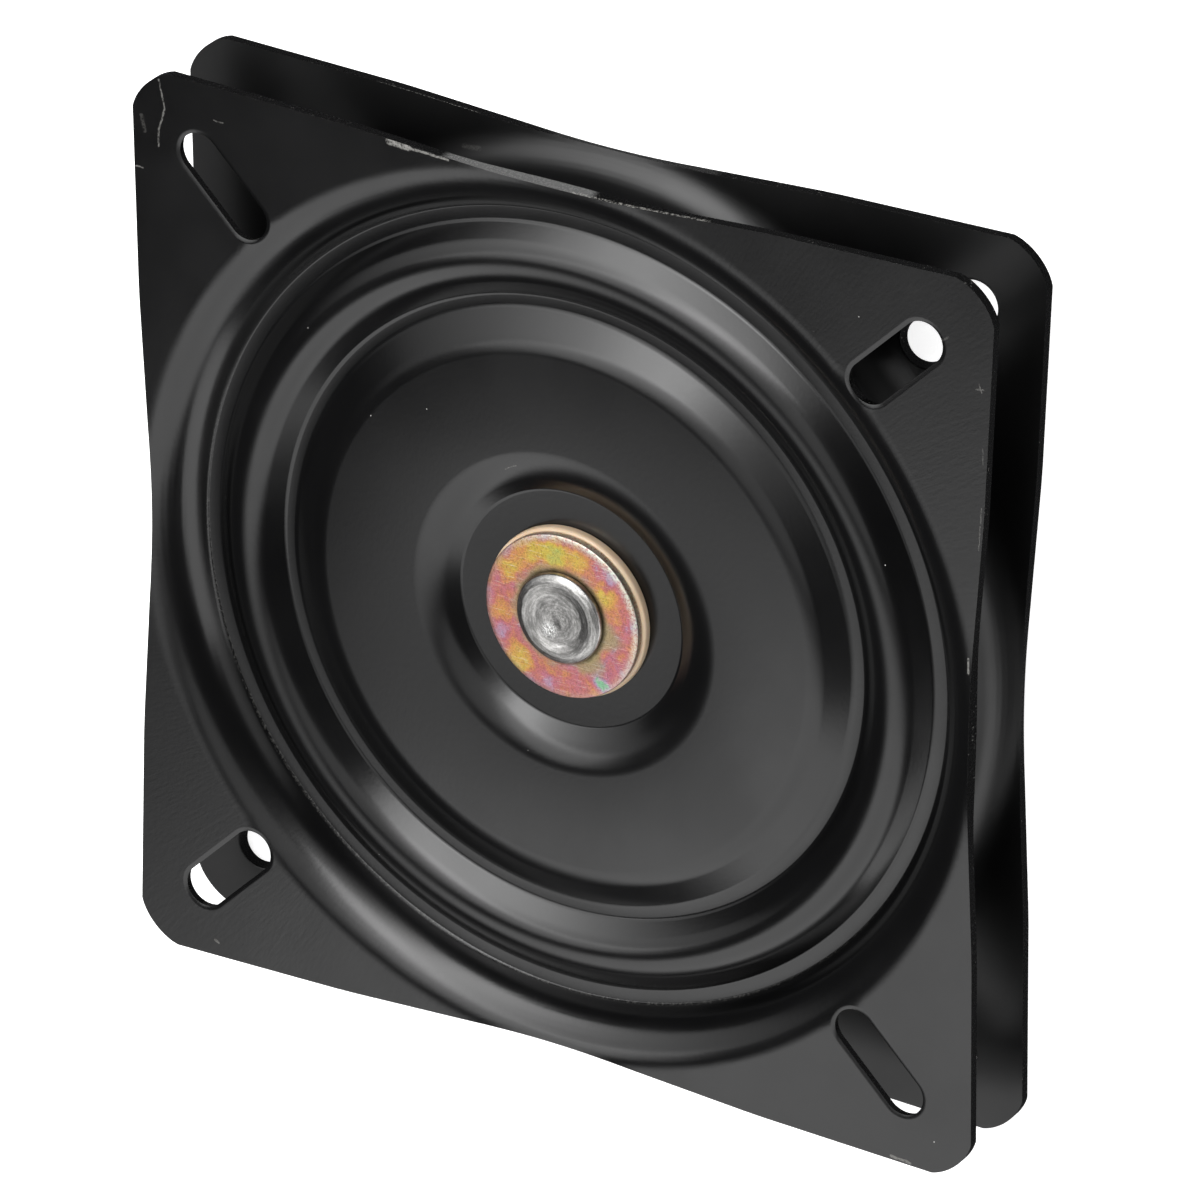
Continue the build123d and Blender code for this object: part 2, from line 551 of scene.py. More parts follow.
def slot_loop(bm, radius, place):
    """A loop of edges round a slot: a circle whose halves are moved apart."""
    half_step = Matrix.Rotation(math.pi / slot_steps, 4, "Z")
    made = bmesh.ops.create_circle(bm, cap_ends=False, segments=slot_steps, radius=radius, matrix=half_step)
    for vertex in made["verts"]:
        vertex.co.x += math.copysign(slot_travel / 2, vertex.co.x)
        vertex.co = place @ vertex.co
    return list(dict.fromkeys(edge for vertex in made["verts"] for edge in vertex.link_edges))


def cut_slot(bm, hollow, quarter):
    """Fill one flat corner again, with a slot along its diagonal whose edge the punch rolled in."""
    turn = Matrix.Rotation((quarter + 0.5) * math.tau / side_count, 4, "Z")
    place = turn @ Matrix.Translation((slot_square / math.sqrt(2), 0, 0))
    inner = slot_loop(bm, slot_width / 2, place)
    lip = slot_loop(bm, slot_width / 2 + slot_roll, place)
    outer = slot_loop(bm, slot_width / 2 + slot_roll + slot_strip, place)
    bmesh.ops.bridge_loops(bm, edges=inner + lip)
    bmesh.ops.bridge_loops(bm, edges=lip + outer)
    rolled = bm.verts.layers.float["rolled"]
    for edge in inner:
        for vertex in edge.verts:
            vertex[rolled] = slot_roll_depth
    middle = place.translation
    corner = [edge for edge in hollow if (edge.verts[0].co - middle).length < plate_side / 3]
    bmesh.ops.triangle_fill(bm, edges=corner + outer, use_beauty=True, normal=(0, 0, 1))


print("slots a plate", side_count)

# %% [markdown]
# ## A whole plate
# The steps come together here: the outline, the edge strip, the rings, the slots, the depth of
# each point, and then the two modifiers.

# %% Make a plate


def pressed_plate(name, hole_radius, mount_height, facing, *materials):
    """One plate. Its mounting face lies at mount_height and faces up (1) or down (-1)."""
    bm = plate_outline()
    face = next(iter(bm.faces))
    inset = bmesh.ops.inset_region(
        bm, faces=[face], thickness=rim_strip, use_boundary=True, use_even_offset=True
    )
    strip = set(inset["faces"])
    loop = face.edges[:]
    bmesh.ops.delete(bm, geom=[face], context="FACES_ONLY")
    rolled = bm.verts.layers.float.new("rolled")
    reach = bm.verts.layers.float.new("reach")
    for vertex in bm.verts:
        vertex[reach] = vertex.co.length
    for ring in range(1, corner_rings + wall_rings + 1):
        loop = extrude_ring(bm, loop, lambda vertex: flange_radius(vertex[reach], ring))
    for radius, _ in reversed(section):
        if hole_radius < radius < crease_radius:
            loop = extrude_ring(bm, loop, lambda vertex: radius)
    extrude_ring(bm, loop, lambda vertex: hole_radius)

    level = {vertex for vertex in bm.verts if round_the_slot(vertex.co)}
    flats = {item for item in bm.faces if item not in strip and level.issuperset(item.verts)}
    hollow = [edge for edge in bm.edges if len(flats.intersection(edge.link_faces)) == 1]
    bmesh.ops.delete(bm, geom=list(flats), context="FACES")
    for quarter in range(side_count):
        cut_slot(bm, hollow, quarter)
    for vertex in bm.verts:
        vertex.co.z = mount_height - facing * (pressed_depth(vertex.co) + vertex[rolled])
    bmesh.ops.recalc_face_normals(bm, faces=bm.faces[:])
    if facing * sum(item.normal.z * item.calc_area() for item in bm.faces) < 0:
        bmesh.ops.reverse_faces(bm, faces=bm.faces[:])

    plate = new_object(name, bm, *materials)
    wall = plate.modifiers.new("sheet", "SOLIDIFY")
    wall.thickness = sheet
    wall.offset = -1
    wall.use_even_offset = True
    wall.use_quality_normals = True
    wall.material_offset_rim = 1
    edges = plate.modifiers.new("cut_edges", "BEVEL")
    edges.width = cut_edge_round
    edges.segments = 3
    edges.limit_method = "ANGLE"
    edges.angle_limit = cut_edge_angle
    edges.harden_normals = True
    edges.material = 2
    return plate


print("sheet in mm", sheet / mm)

# %% [markdown]
# ## Tools for finishes
# Each finish below is a small tree of nodes that reads Object coordinates, which are metres in
# the swivel's own frame. A few short helpers keep the trees readable: noise, ramps, mixes, and
# the distance from the swivel's axis, which most marks on a turned or pressed piece follow.

# %% Make the finish helpers


def object_place(tree):
    """Object coordinates: metres in the swivel's frame."""
    return add_node(tree, "ShaderNodeTexCoord").outputs["Object"]


def stretched(tree, place, scale, turn):
    """Coordinates turned about Z and then stretched, for a pattern with a direction."""
    inputs = {"Vector": place, "Scale": scale, "Rotation": (0, 0, turn)}
    return add_node(tree, "ShaderNodeMapping", inputs).outputs["Vector"]


def noise_value(tree, place, size, detail=2.0, roughness=0.5, distortion=0.0):
    """Noise from 0 to 1 whose blotches are about one size across."""
    inputs = {
        "Vector": place,
        "Scale": 1 / size,
        "Detail": detail,
        "Roughness": roughness,
        "Distortion": distortion,
    }
    return add_node(tree, "ShaderNodeTexNoise", inputs).outputs["Fac"]


def ranged(tree, value, low, high, to_low=0.0, to_high=1.0, smooth=False):
    """A value between low and high, moved to another range and held there."""
    made = add_node(
        tree, "ShaderNodeMapRange",
        {"Value": value, "From Min": low, "From Max": high, "To Min": to_low, "To Max": to_high},
        interpolation_type="SMOOTHSTEP" if smooth else "LINEAR",
    )
    return made.outputs["Result"]


def mixed(tree, share, first, second, blend="MIX"):
    """Two colours mixed by a share from 0 to 1."""
    inputs = {0: share, 6: first, 7: second}
    return add_node(tree, "ShaderNodeMix", inputs, data_type="RGBA", blend_type=blend).outputs[2]


def axis_distance(tree, place, centre=(0, 0)):
    """How far a point lies from a line parallel to the swivel's axis."""
    return measured(tree, "DISTANCE", vector_made(tree, "MULTIPLY", place, (1, 1, 0)), (*centre, 0))


def axis_turn(tree, place):
    """The angle of a point about the swivel's axis."""
    parts = add_node(tree, "ShaderNodeSeparateXYZ", {"Vector": place})
    return math_value(tree, "ARCTAN2", parts.outputs["Y"], parts.outputs["X"])


def bumped(tree, shader, height, strength, distance):
    """Give a shader its bump, with the height that a full step of the texture stands for."""
    bump = add_node(tree, "ShaderNodeBump", {"Height": height, "Strength": strength, "Distance": distance})
    tree.links.new(bump.outputs["Normal"], shader.inputs["Normal"])


def feed(tree, shader, **sockets):
    """Link values to a shader's sockets, named with _ for a space."""
    for name, value in sockets.items():
        tree.links.new(value, shader.inputs[name.replace("_", " ")])


print("helpers ready")

# %% [markdown]
# ## Black paint
# The paint is a thin, even, semi-gloss coat, almost black. Its gloss varies softly because the
# sheet under it was drawn and handled. The press left fine lines down the rim wall and roughened
# the crease, and the plate carries scratches, chips and a little dust. A mark is a straight stretch
# from one point to another with a width, and noise breaks it up, so a scratch is a few stretches.
# One light stretch among the seat plate's marks is a painted glint.

# %% Draw marks on the paint
crease_band = 0.3 * mm
drawn_line_stretch = 0.12
mark_wander = 0.5 * mm
mark_grain = 1.2 * mm
dust_spacing = 8 * mm
dust_radius = 0.13 * mm


def level_place(tree, place, wander, grain):
    """Coordinates seen from above, pushed about by noise so that what follows them is uneven."""
    flat = vector_made(tree, "MULTIPLY", place, (1, 1, 0))
    push = add_node(tree, "ShaderNodeTexNoise", {"Vector": place, "Scale": 1 / grain, "Detail": 2.0})
    centred = vector_made(tree, "SUBTRACT", push.outputs["Color"], (0.5, 0.5, 0.5))
    return vector_made(tree, "MULTIPLY_ADD", centred, (wander, wander, 0), flat)


def off_stretch(tree, level, start, end):
    """How far a point lies from the straight stretch between two points, in mm, of the plate."""
    first = Vector((*start, 0)) * mm
    run = Vector((*end, 0)) * mm - first
    away = vector_made(tree, "SUBTRACT", level, first)
    share = ranged(tree, measured(tree, "DOT_PRODUCT", away, run / run.length_squared), 0, 1)
    foot = add_node(tree, "ShaderNodeVectorMath", {0: run, "Scale": share}, operation="SCALE").outputs[0]
    return measured(tree, "DISTANCE", away, foot)


def marked(tree, level, marks):
    """How strongly the marks show at a point. A mark is its points, half width in mm and strength."""
    shown = None
    for points, half_width, strength in marks:
        for start, end in zip(points, points[1:]):
            away = off_stretch(tree, level, start, end)
            mark = ranged(tree, away, 0.5 * half_width * mm, half_width * mm, strength, 0)
            shown = mark if shown is None else math_value(tree, "MAXIMUM", shown, mark)
    return shown


print("marks ready")

# %% [markdown]
# ## The press and the dust
# The crease is rough and light in short dashes, the wall carries fine drawn lines, and dust lies
# on the paint in single specks.

# %% Make the crease, the drawn lines and the dust


def rough_crease(tree, place, reach, towards):
    """The roughened crease line, broken into short dashes and strongest towards one azimuth."""
    off_line = math_value(tree, "ABSOLUTE", math_value(tree, "SUBTRACT", reach, crease_radius))
    line = ranged(tree, off_line, 0.3 * crease_band, crease_band, 1, 0)
    dashes = ranged(tree, noise_value(tree, place, 0.55 * mm, 3.0, 0.7), 0.48, 0.64)
    side = measured(tree, "DOT_PRODUCT", place, (math.cos(towards), math.sin(towards), 0))
    window = ranged(tree, side, -0.1 * crease_radius, 0.6 * crease_radius, 0.1, 1.0)
    return times(tree, line, times(tree, dashes, window))


def drawn_lines(tree, place, reach):
    """Fine lines down the drawn wall: noise that is narrow round the plate and long across it."""
    round_plate = times(tree, axis_turn(tree, place), crease_radius)
    across = times(tree, reach, drawn_line_stretch)
    polar = add_node(tree, "ShaderNodeCombineXYZ", {"X": round_plate, "Y": across}).outputs["Vector"]
    wall = ranged(tree, reach, crease_radius - 0.5 * mm, crease_radius + 1.5 * mm)
    return times(tree, noise_value(tree, polar, 0.55 * mm, 3.0, 0.6), wall)


def dust_specks(tree, place):
    """A few specks of dust: the middles of large random cells, where they happen to meet the surface."""
    cells = add_node(tree, "ShaderNodeTexVoronoi", {"Vector": place, "Scale": 1 / dust_spacing})
    edge = dust_radius / dust_spacing
    return ranged(tree, cells.outputs["Distance"], edge, 0.7 * edge, 0, 1)


print("crease radius in mm", round(crease_radius / mm, 2))

# %% [markdown]
# ## Two coats of paint
# Both plates have the same paint, each with its own marks. The rear plate's wall is duller.

# %% Paint both plates


def black_paint(name, marks, crease_towards, wall_dullness):
    """Semi-gloss black paint with the marks of the press, of handling and of dust, and a painted glint
    where the marks give one.
    """
    material, tree, shader = new_material(name)
    place = object_place(tree)
    reach = axis_distance(tree, place)
    cloud = noise_value(tree, place, 22 * mm, 3.0)
    grain = noise_value(tree, place, 0.45 * mm, 3.0, 0.6)
    crease = rough_crease(tree, place, reach, crease_towards)
    dust = dust_specks(tree, place)
    mark = marked(tree, level_place(tree, place, mark_wander, mark_grain), marks)
    mark = times(tree, mark, ranged(tree, grain, 0.34, 0.56))
    # The light marks are wear, except one of the seat plate's, which is a painted glint.
    worn = math_value(tree, "MAXIMUM", mark, times(tree, crease, 0.16))
    gloss = ranged(tree, cloud, 0.3, 0.7, 0.145, 0.215)
    wall = ranged(tree, reach, crease_radius - 2 * mm, crease_radius, 0.0, wall_dullness)
    gloss = math_value(tree, "ADD", times_plus(tree, grain, 0.05, gloss), wall)
    colour = mixed(tree, worn, (0.0018, 0.0018, 0.0019, 1), (0.24, 0.235, 0.22, 1))
    feed(
        tree, shader,
        Base_Color=mixed(tree, dust, colour, (0.55, 0.54, 0.52, 1)),
        Roughness=times_plus(tree, worn, 0.3, gloss),
    )
    peel = noise_value(tree, place, 0.8 * mm, 3.0, 0.7)
    relief = times(tree, peel, 0.5)
    relief = times_plus(tree, drawn_lines(tree, place, reach), 0.5, relief)
    relief = times_plus(tree, math_value(tree, "MAXIMUM", worn, dust), 1.5, relief)
    bumped(tree, shader, relief, 0.075, 0.2 * mm)
    return material


seat_marks_and_glint = [
    ([(87.5, 83.1), (83.3, 82.2), (81.8, 81.9), (77.5, 83.2), (74.3, 83.3)], 0.22, 0.5),
    ([(69.1, 88.4), (69.2, 86.7)], 0.2, 0.5),
    ([(82.2, 71.4), (82.0, 69.5)], 0.18, 0.3),
    ([(79.5, 86.9), (76.6, 86.2)], 0.5, 0.12),
    ([(86.9, 34.4), (86.6, 30.3)], 0.75, 1.0),
    ([(86.6, 30.3), (86.2, 22.0)], 0.3, 0.8),
    ([(68.6, -85.6), (68.9, -87.2)], 0.2, 0.4),
    ([(69.6, -86.2), (68.2, -86.7)], 0.15, 0.35),
    ([(57.6, -87.2), (54.6, -87.4)], 0.15, 0.2),
    ([(46.0, -87.3), (37.8, -87.0)], 0.15, 0.3),
    # A painted highlight: a short light stretch that stands for a glint along the edge.
    ([(16.1, -85.6), (13.2, -85.5)], 0.25, 0.8),
    ([(77.1, -79.8), (76.2, -78.6)], 0.25, 0.2),
    ([(-87.9, -72.5), (-88.2, -76.5)], 0.35, 0.6),
    ([(-85.3, 72.6), (-85.8, 71.8)], 0.3, 0.5),
    ([(25.8, 12.6), (27.2, 10.4)], 0.15, 0.35),
]
base_marks = [
    ([(80.4, 26.6), (80.0, 30.2)], 0.5, 0.12),
]
seat_paint = black_paint("seat_paint", seat_marks_and_glint, math.radians(150), 0.0)
base_paint = black_paint("base_paint", base_marks, 0.0, 0.16)
print("marks", len(seat_marks_and_glint), len(base_marks))

# %% [markdown]
# ## Cut edges
# The plates were sheared after the pressing, so their edges are square and a little rough, and the
# paint is thinnest there. The edge finish is a duller black with specks of bare steel. The rounded
# rims are grey in stretches: partly rubbed paint, and mostly a painted highlight along them. A band
# of sheared metal shows at the middle of one side of the seat plate, with a row of burrs after it.

# %% Finish the cut edges and make the plates


def cut_edge_finish(name, bands, burrs, burr_height):
    """Thin dull paint over a sheared edge, worn to the steel in bands and in specks."""
    material, tree, shader = new_material(name)
    place = object_place(tree)
    level = level_place(tree, place, mark_wander, mark_grain)
    speck = noise_value(tree, place, 0.5 * mm, 3.0, 0.7)
    patch = noise_value(tree, place, 9 * mm, 2.0)
    band = marked(tree, level, bands)
    height = add_node(tree, "ShaderNodeSeparateXYZ", {"Vector": place}).outputs["Z"]
    on_rim = ranged(tree, height, burr_height - 0.3 * mm, burr_height)
    burr = times(tree, marked(tree, level, burrs), ranged(tree, speck, 0.50, 0.58))
    burr = times(tree, burr, on_rim)
    bare = times(tree, ranged(tree, speck, 0.66, 0.74), ranged(tree, patch, 0.5, 0.65))
    bare = math_value(tree, "MAXIMUM", burr, bare)
    paint = mixed(tree, band, (0.003, 0.003, 0.003, 1), (0.13, 0.13, 0.128, 1))
    feed(
        tree, shader,
        Base_Color=mixed(tree, bare, paint, (0.45, 0.44, 0.41, 1)),
        Metallic=times(tree, bare, 0.6),
        Roughness=ranged(tree, speck, 0.3, 0.7, 0.20, 0.32),
    )
    bumped(tree, shader, speck, 0.03, 0.1 * mm)
    return material


def rim_wear_and_highlight_finish(name, light):
    """The rounded rim of a cut edge, grey in stretches: partly worn paint, and mostly a painted highlight.
    """
    material, tree, shader = new_material(name)
    place = object_place(tree)
    speck = noise_value(tree, place, 0.7 * mm, 3.0, 0.7)
    patch = noise_value(tree, place, 14 * mm, 3.0, 0.6)
    # The grey stretches stand partly for worn paint and mostly for a painted highlight along the rim.
    rubbed_and_lit = ranged(tree, patch, 0.35, 0.65, 0.2, 1.0)
    worn_and_lit = times(tree, rubbed_and_lit, ranged(tree, speck, 0.3, 0.7, 0.5, 1.0))
    feed(
        tree, shader,
        Base_Color=mixed(tree, worn_and_lit, (0.004, 0.004, 0.004, 1), (light, light, 0.97 * light, 1)),
        Roughness=ranged(tree, speck, 0.3, 0.7, 0.22, 0.36),
    )
    return material


sheared_band = [([(85.4, 21.0), (85.2, -5.5)], 3.0, 0.8)]
burr_row = [([(85.2, -5.5), (86.6, -29.0)], 3.0, 1.0)]
base_band = [([(85.2, 10.0), (85.6, -20.0)], 3.0, 0.15)]
base_burrs = [([(86.6, 30.0), (87.6, 46.0)], 3.0, 0.5)]
seat_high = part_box("seat_plate")[1]
base_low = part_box("base_plate")[0]
seat_edge = cut_edge_finish("seat_cut_edge", sheared_band, burr_row, seat_high.z - 0.5 * mm)
base_edge = cut_edge_finish("base_cut_edge", base_band, base_burrs, base_low.z + sheet)
# The last value is how grey each rim's worn paint and painted highlight get.
seat_rim = rim_wear_and_highlight_finish("seat_rim_wear_and_highlight", 0.05)
base_rim = rim_wear_and_highlight_finish("base_rim_wear_and_highlight", 0.02)
seat_hole_radius = 9.29 * mm
base_hole_radius = 7.05 * mm
seat_finish = (seat_paint, seat_edge, seat_rim)
base_finish = (base_paint, base_edge, base_rim)
seat_plate = pressed_plate("seat_plate_pressing", seat_hole_radius, seat_high.z, 1, *seat_finish)
base_plate = pressed_plate("base_plate_pressing", base_hole_radius, base_low.z, -1, *base_finish)
for plate, body, node in ((seat_plate, "seat", "seat_plate"), (base_plate, "base", "base_plate")):
    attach(plate, body)
    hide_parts(node)
print("plate faces", len(seat_plate.data.polygons), len(base_plate.data.polygons))

# %% [markdown]
# ## The rivet's steel
# The rivet is bare steel. Forming its head over the washer left broken arcs, a dent a little off
# the middle and a bright galled spot beside it, and the colour is darker in a broken ring round the foot of
# the recess wall.
# Steel is metallic, so its colour is the colour of its reflection.

# %% Make the rivet's steel
recess_centre = Vector((-0.6, 0.3, 0)) * mm
dent_centre = Vector((-1.3, 1.3, 0)) * mm
galled_spot = Vector((-2.7, 1.9, 0)) * mm
recess_foot = 6.0 * mm
arc_length = 1.1 * mm
arc_spacing = 0.42 * mm


def turned_arcs(tree, place, reach):
    """Broken arcs about the axis: noise that is narrow across the radius and long round it."""
    along = times(tree, axis_turn(tree, place), arc_length)
    polar = add_node(tree, "ShaderNodeCombineXYZ", {"X": reach, "Y": along}).outputs["Vector"]
    return noise_value(tree, polar, arc_spacing, 3.0, 0.6)


def rivet_steel_finish():
    """Bare steel with broken arcs, a bright galled spot and darker steel round the foot of the recess."""
    material, tree, shader = new_material("rivet_steel_finish")
    place = object_place(tree)
    reach = axis_distance(tree, place, recess_centre.xy)
    spot = axis_distance(tree, place, galled_spot.xy)
    grain = noise_value(tree, place, 0.32 * mm, 4.0, 0.75)
    cloud = noise_value(tree, place, 1.7 * mm, 4.0, 0.65, 0.8)
    arcs = turned_arcs(tree, place, reach)
    tone = times_plus(tree, grain, 0.25, times(tree, cloud, 0.30))
    tone = times_plus(tree, arcs, 0.55, tone)
    skin = ramped(
        tree, tone,
        (0.42, (0.20, 0.20, 0.195)),
        (0.54, (0.30, 0.295, 0.285)),
        (0.66, (0.50, 0.49, 0.48)),
    )
    near_spot = ranged(tree, spot, 0.5 * mm, 2.1 * mm, 1.0, 0.0, True)
    bright = times(tree, near_spot, ranged(tree, grain, 0.46, 0.56))
    # Darker in a broken ring round the foot of the recess wall.
    foot = math_value(tree, "ABSOLUTE", math_value(tree, "SUBTRACT", reach, recess_foot))
    dark_ring = math_value(
        tree, "MULTIPLY", ranged(tree, foot, 0, 0.7 * mm, 0.45, 0), ranged(tree, cloud, 0.40, 0.62)
    )
    clean = mixed(tree, bright, skin, (0.88, 0.88, 0.87, 1))
    feed(
        tree, shader,
        Base_Color=mixed(tree, dark_ring, clean, (0.05, 0.045, 0.04, 1)),
        Roughness=ranged(tree, grain, 0.3, 0.7, 0.26, 0.40),
    )
    relief = times_plus(tree, grain, 0.5, arcs)
    bumped(tree, shader, times_plus(tree, bright, 0.8, relief), 0.6, 0.1 * mm)
    shader.inputs["Metallic"].default_value = 1.0
    return material


rivet_steel = rivet_steel_finish()
print("made", rivet_steel.name)

# %% [markdown]
# ## The rivet
# The rivet was turned, and its head was rolled over in place. Half its section is drawn with a
# radius at each bend and spun through a full turn. Spin leaves doubled points on the axis and
# where the turn closes, so they are merged before the normals are set. The formed head is then
# moved by a dent and by noise, so that its unevenness is real and not only shading.

# %% Spin the rivet
spin_steps = 144
spin_arc_steps = 5
merge_distance = 0.0005 * mm
head_line_step = 0.2 * mm
washer_low, washer_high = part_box("head_washer")
rivet_low, rivet_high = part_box("rivet")
bush_low, bush_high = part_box("flanged_bush")
head_floor = washer_high.z + 0.25 * mm


def spin_section(points, radii, line_step=None, floor=0.0):
    """Spin a half section, in mm, about the axis. Above floor, runs longer than line_step are divided."""
    places = [(across * mm, up * mm) for across, up in points]
    bm = rounded_line(places, [radius * mm for radius in radii], spin_arc_steps)
    for edge in bm.edges[:]:
        if line_step and min(vertex.co.z for vertex in edge.verts) > floor:
            cuts = int(edge.calc_length() / line_step)
            if cuts:
                bmesh.ops.subdivide_edges(bm, edges=[edge], cuts=cuts)
    bmesh.ops.spin(
        bm,
        geom=bm.verts[:] + bm.edges[:],
        cent=(0, 0, 0),
        axis=(0, 0, 1),
        angle=math.tau,
        steps=spin_steps,
        use_merge=True,
    )
    bmesh.ops.remove_doubles(bm, verts=bm.verts[:], dist=merge_distance)
    bmesh.ops.recalc_face_normals(bm, faces=bm.faces[:])
    return bm


def peening(point):
    """How far the forming tool and the peening moved a point of the head up or down."""
    level = Vector((point.x, point.y, 0))
    inside = 1 - smooth_step((level.length - 5.4 * mm) / (1.0 * mm))
    pit = -0.30 * mm * (1 - smooth_step((level - dent_centre).length / (2.4 * mm)))
    knock = 1 - smooth_step(((level - galled_spot).length - 0.6 * mm) / (1.3 * mm))
    rough = noise.noise(point / (0.6 * mm)) * (0.012 + 0.12 * knock) * mm
    dish = noise.noise(point / (2.6 * mm)) * 0.05 * mm
    ring = 0.02 * mm * math.sin((level - recess_centre).length * math.tau / (2.6 * mm))
    hammered = noise.noise(point / (2.2 * mm)) * 0.03 * mm
    return inside * (pit + rough + dish + ring) + (1 - inside) * hammered


factory_head_radius = 13.0
shank_radius = 7.0
formed_head_radius = 9.0
crown_radius = 7.4
recess_radius = 6.6
recess_floor_radius = 4.9
recess_depth = 0.52
peening_room = 0.05
head_seat = washer_high.z / mm
head_top = rivet_high.z / mm - peening_room
head_under = rivet_low.z / mm
plate_under = floor_depth / mm
rivet_points = [
    (0, head_under),
    (factory_head_radius, head_under),
    (factory_head_radius, plate_under),
    (shank_radius, plate_under),
    (shank_radius, head_seat),
    (formed_head_radius - 0.3, head_seat),
    (formed_head_radius, head_seat + 0.6),
    (formed_head_radius - 0.4, head_top - 0.5),
    (crown_radius, head_top),
    (recess_radius, head_top - 0.05),
    (recess_floor_radius, head_top - recess_depth + 0.04),
    (0, head_top - recess_depth),
]
rivet_bends = [2.4, 0.25, 0.1, 0, 0.12, 0.8, 0.8, 0.8, 0.8, 2.0]
bm = spin_section(rivet_points, rivet_bends, head_line_step, head_floor)
for vertex in bm.verts:
    if vertex.co.z > head_floor:
        vertex.co.z += peening(vertex.co)
rivet = new_object("rivet_formed", bm, rivet_steel)
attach(rivet, "base")
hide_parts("rivet")
print("rivet faces", len(rivet.data.polygons))

# %% [markdown]
# ## Yellow zinc
# The washer is zinc plated and yellow passivated. The passivate is a film so thin that it shows
# interference colours. One value stands for the film: lime at its low end, then gold, orange,
# rose, lilac and green. Most of the washer is rose with soft noise, a few soft spots pull the
# film to another colour, and near the rivet khaki lies over it, then a dark ring that is painted
# shadow of the head with some dirt. Handling has rubbed the margin to grey specks, and a painted
# highlight makes one side of it lighter and greener.

# %% Make the yellow zinc
film_wander = 4.5 * mm
film_grain = 3.5 * mm
gold_film = 0.36
lime_film = 0.20
orange_film = 0.48
lilac_film = 0.84
green_film = 0.98
film_spots = [
    ((11.2, 6.4), 4.6, gold_film),
    ((7.2, 11.0), 4.4, gold_film),
    ((11.9, -3.6), 4.2, gold_film),
    ((12.4, 1.6), 4.4, lime_film),
    ((-2.6, 13.4), 3.6, orange_film),
    ((-5.8, 12.6), 3.4, lilac_film),
    ((-11.0, 8.6), 4.2, gold_film),
    ((-10.9, -8.8), 2.1, green_film),
    ((6.4, -9.2), 4.2, gold_film),
    ((10.4, -10.6), 3.2, lilac_film),
    ((-13.8, 2.4), 2.6, lilac_film),
]
khaki_spots = [((-1.8, -9.6), 4.0), ((-7.6, -6.0), 4.0), ((0.0, 0.0), 11.0)]
margin_start = 15.2 * mm
margin_end = 16.4 * mm
# Where the painted shadow and dirt round the rivet's head fade out.
shadow_and_dirt_start = 9.3 * mm
shadow_and_dirt_end = 10.3 * mm
# The side towards which the margin gets a painted highlight.
highlight_side = (0.71, -0.71, 0)


def pulled(tree, film, share, target):
    """A film value moved by a share of the way to another."""
    return times_plus(tree, share, math_value(tree, "SUBTRACT", target, film), film)


def soft_spot(tree, level, centre, core, radius):
    """How strongly a round spot shows, in mm: fully within the core, and not beyond the radius."""
    away = axis_distance(tree, level, (centre[0] * mm, centre[1] * mm))
    return ranged(tree, away, core * mm, radius * mm, 0.95, 0.0, True)


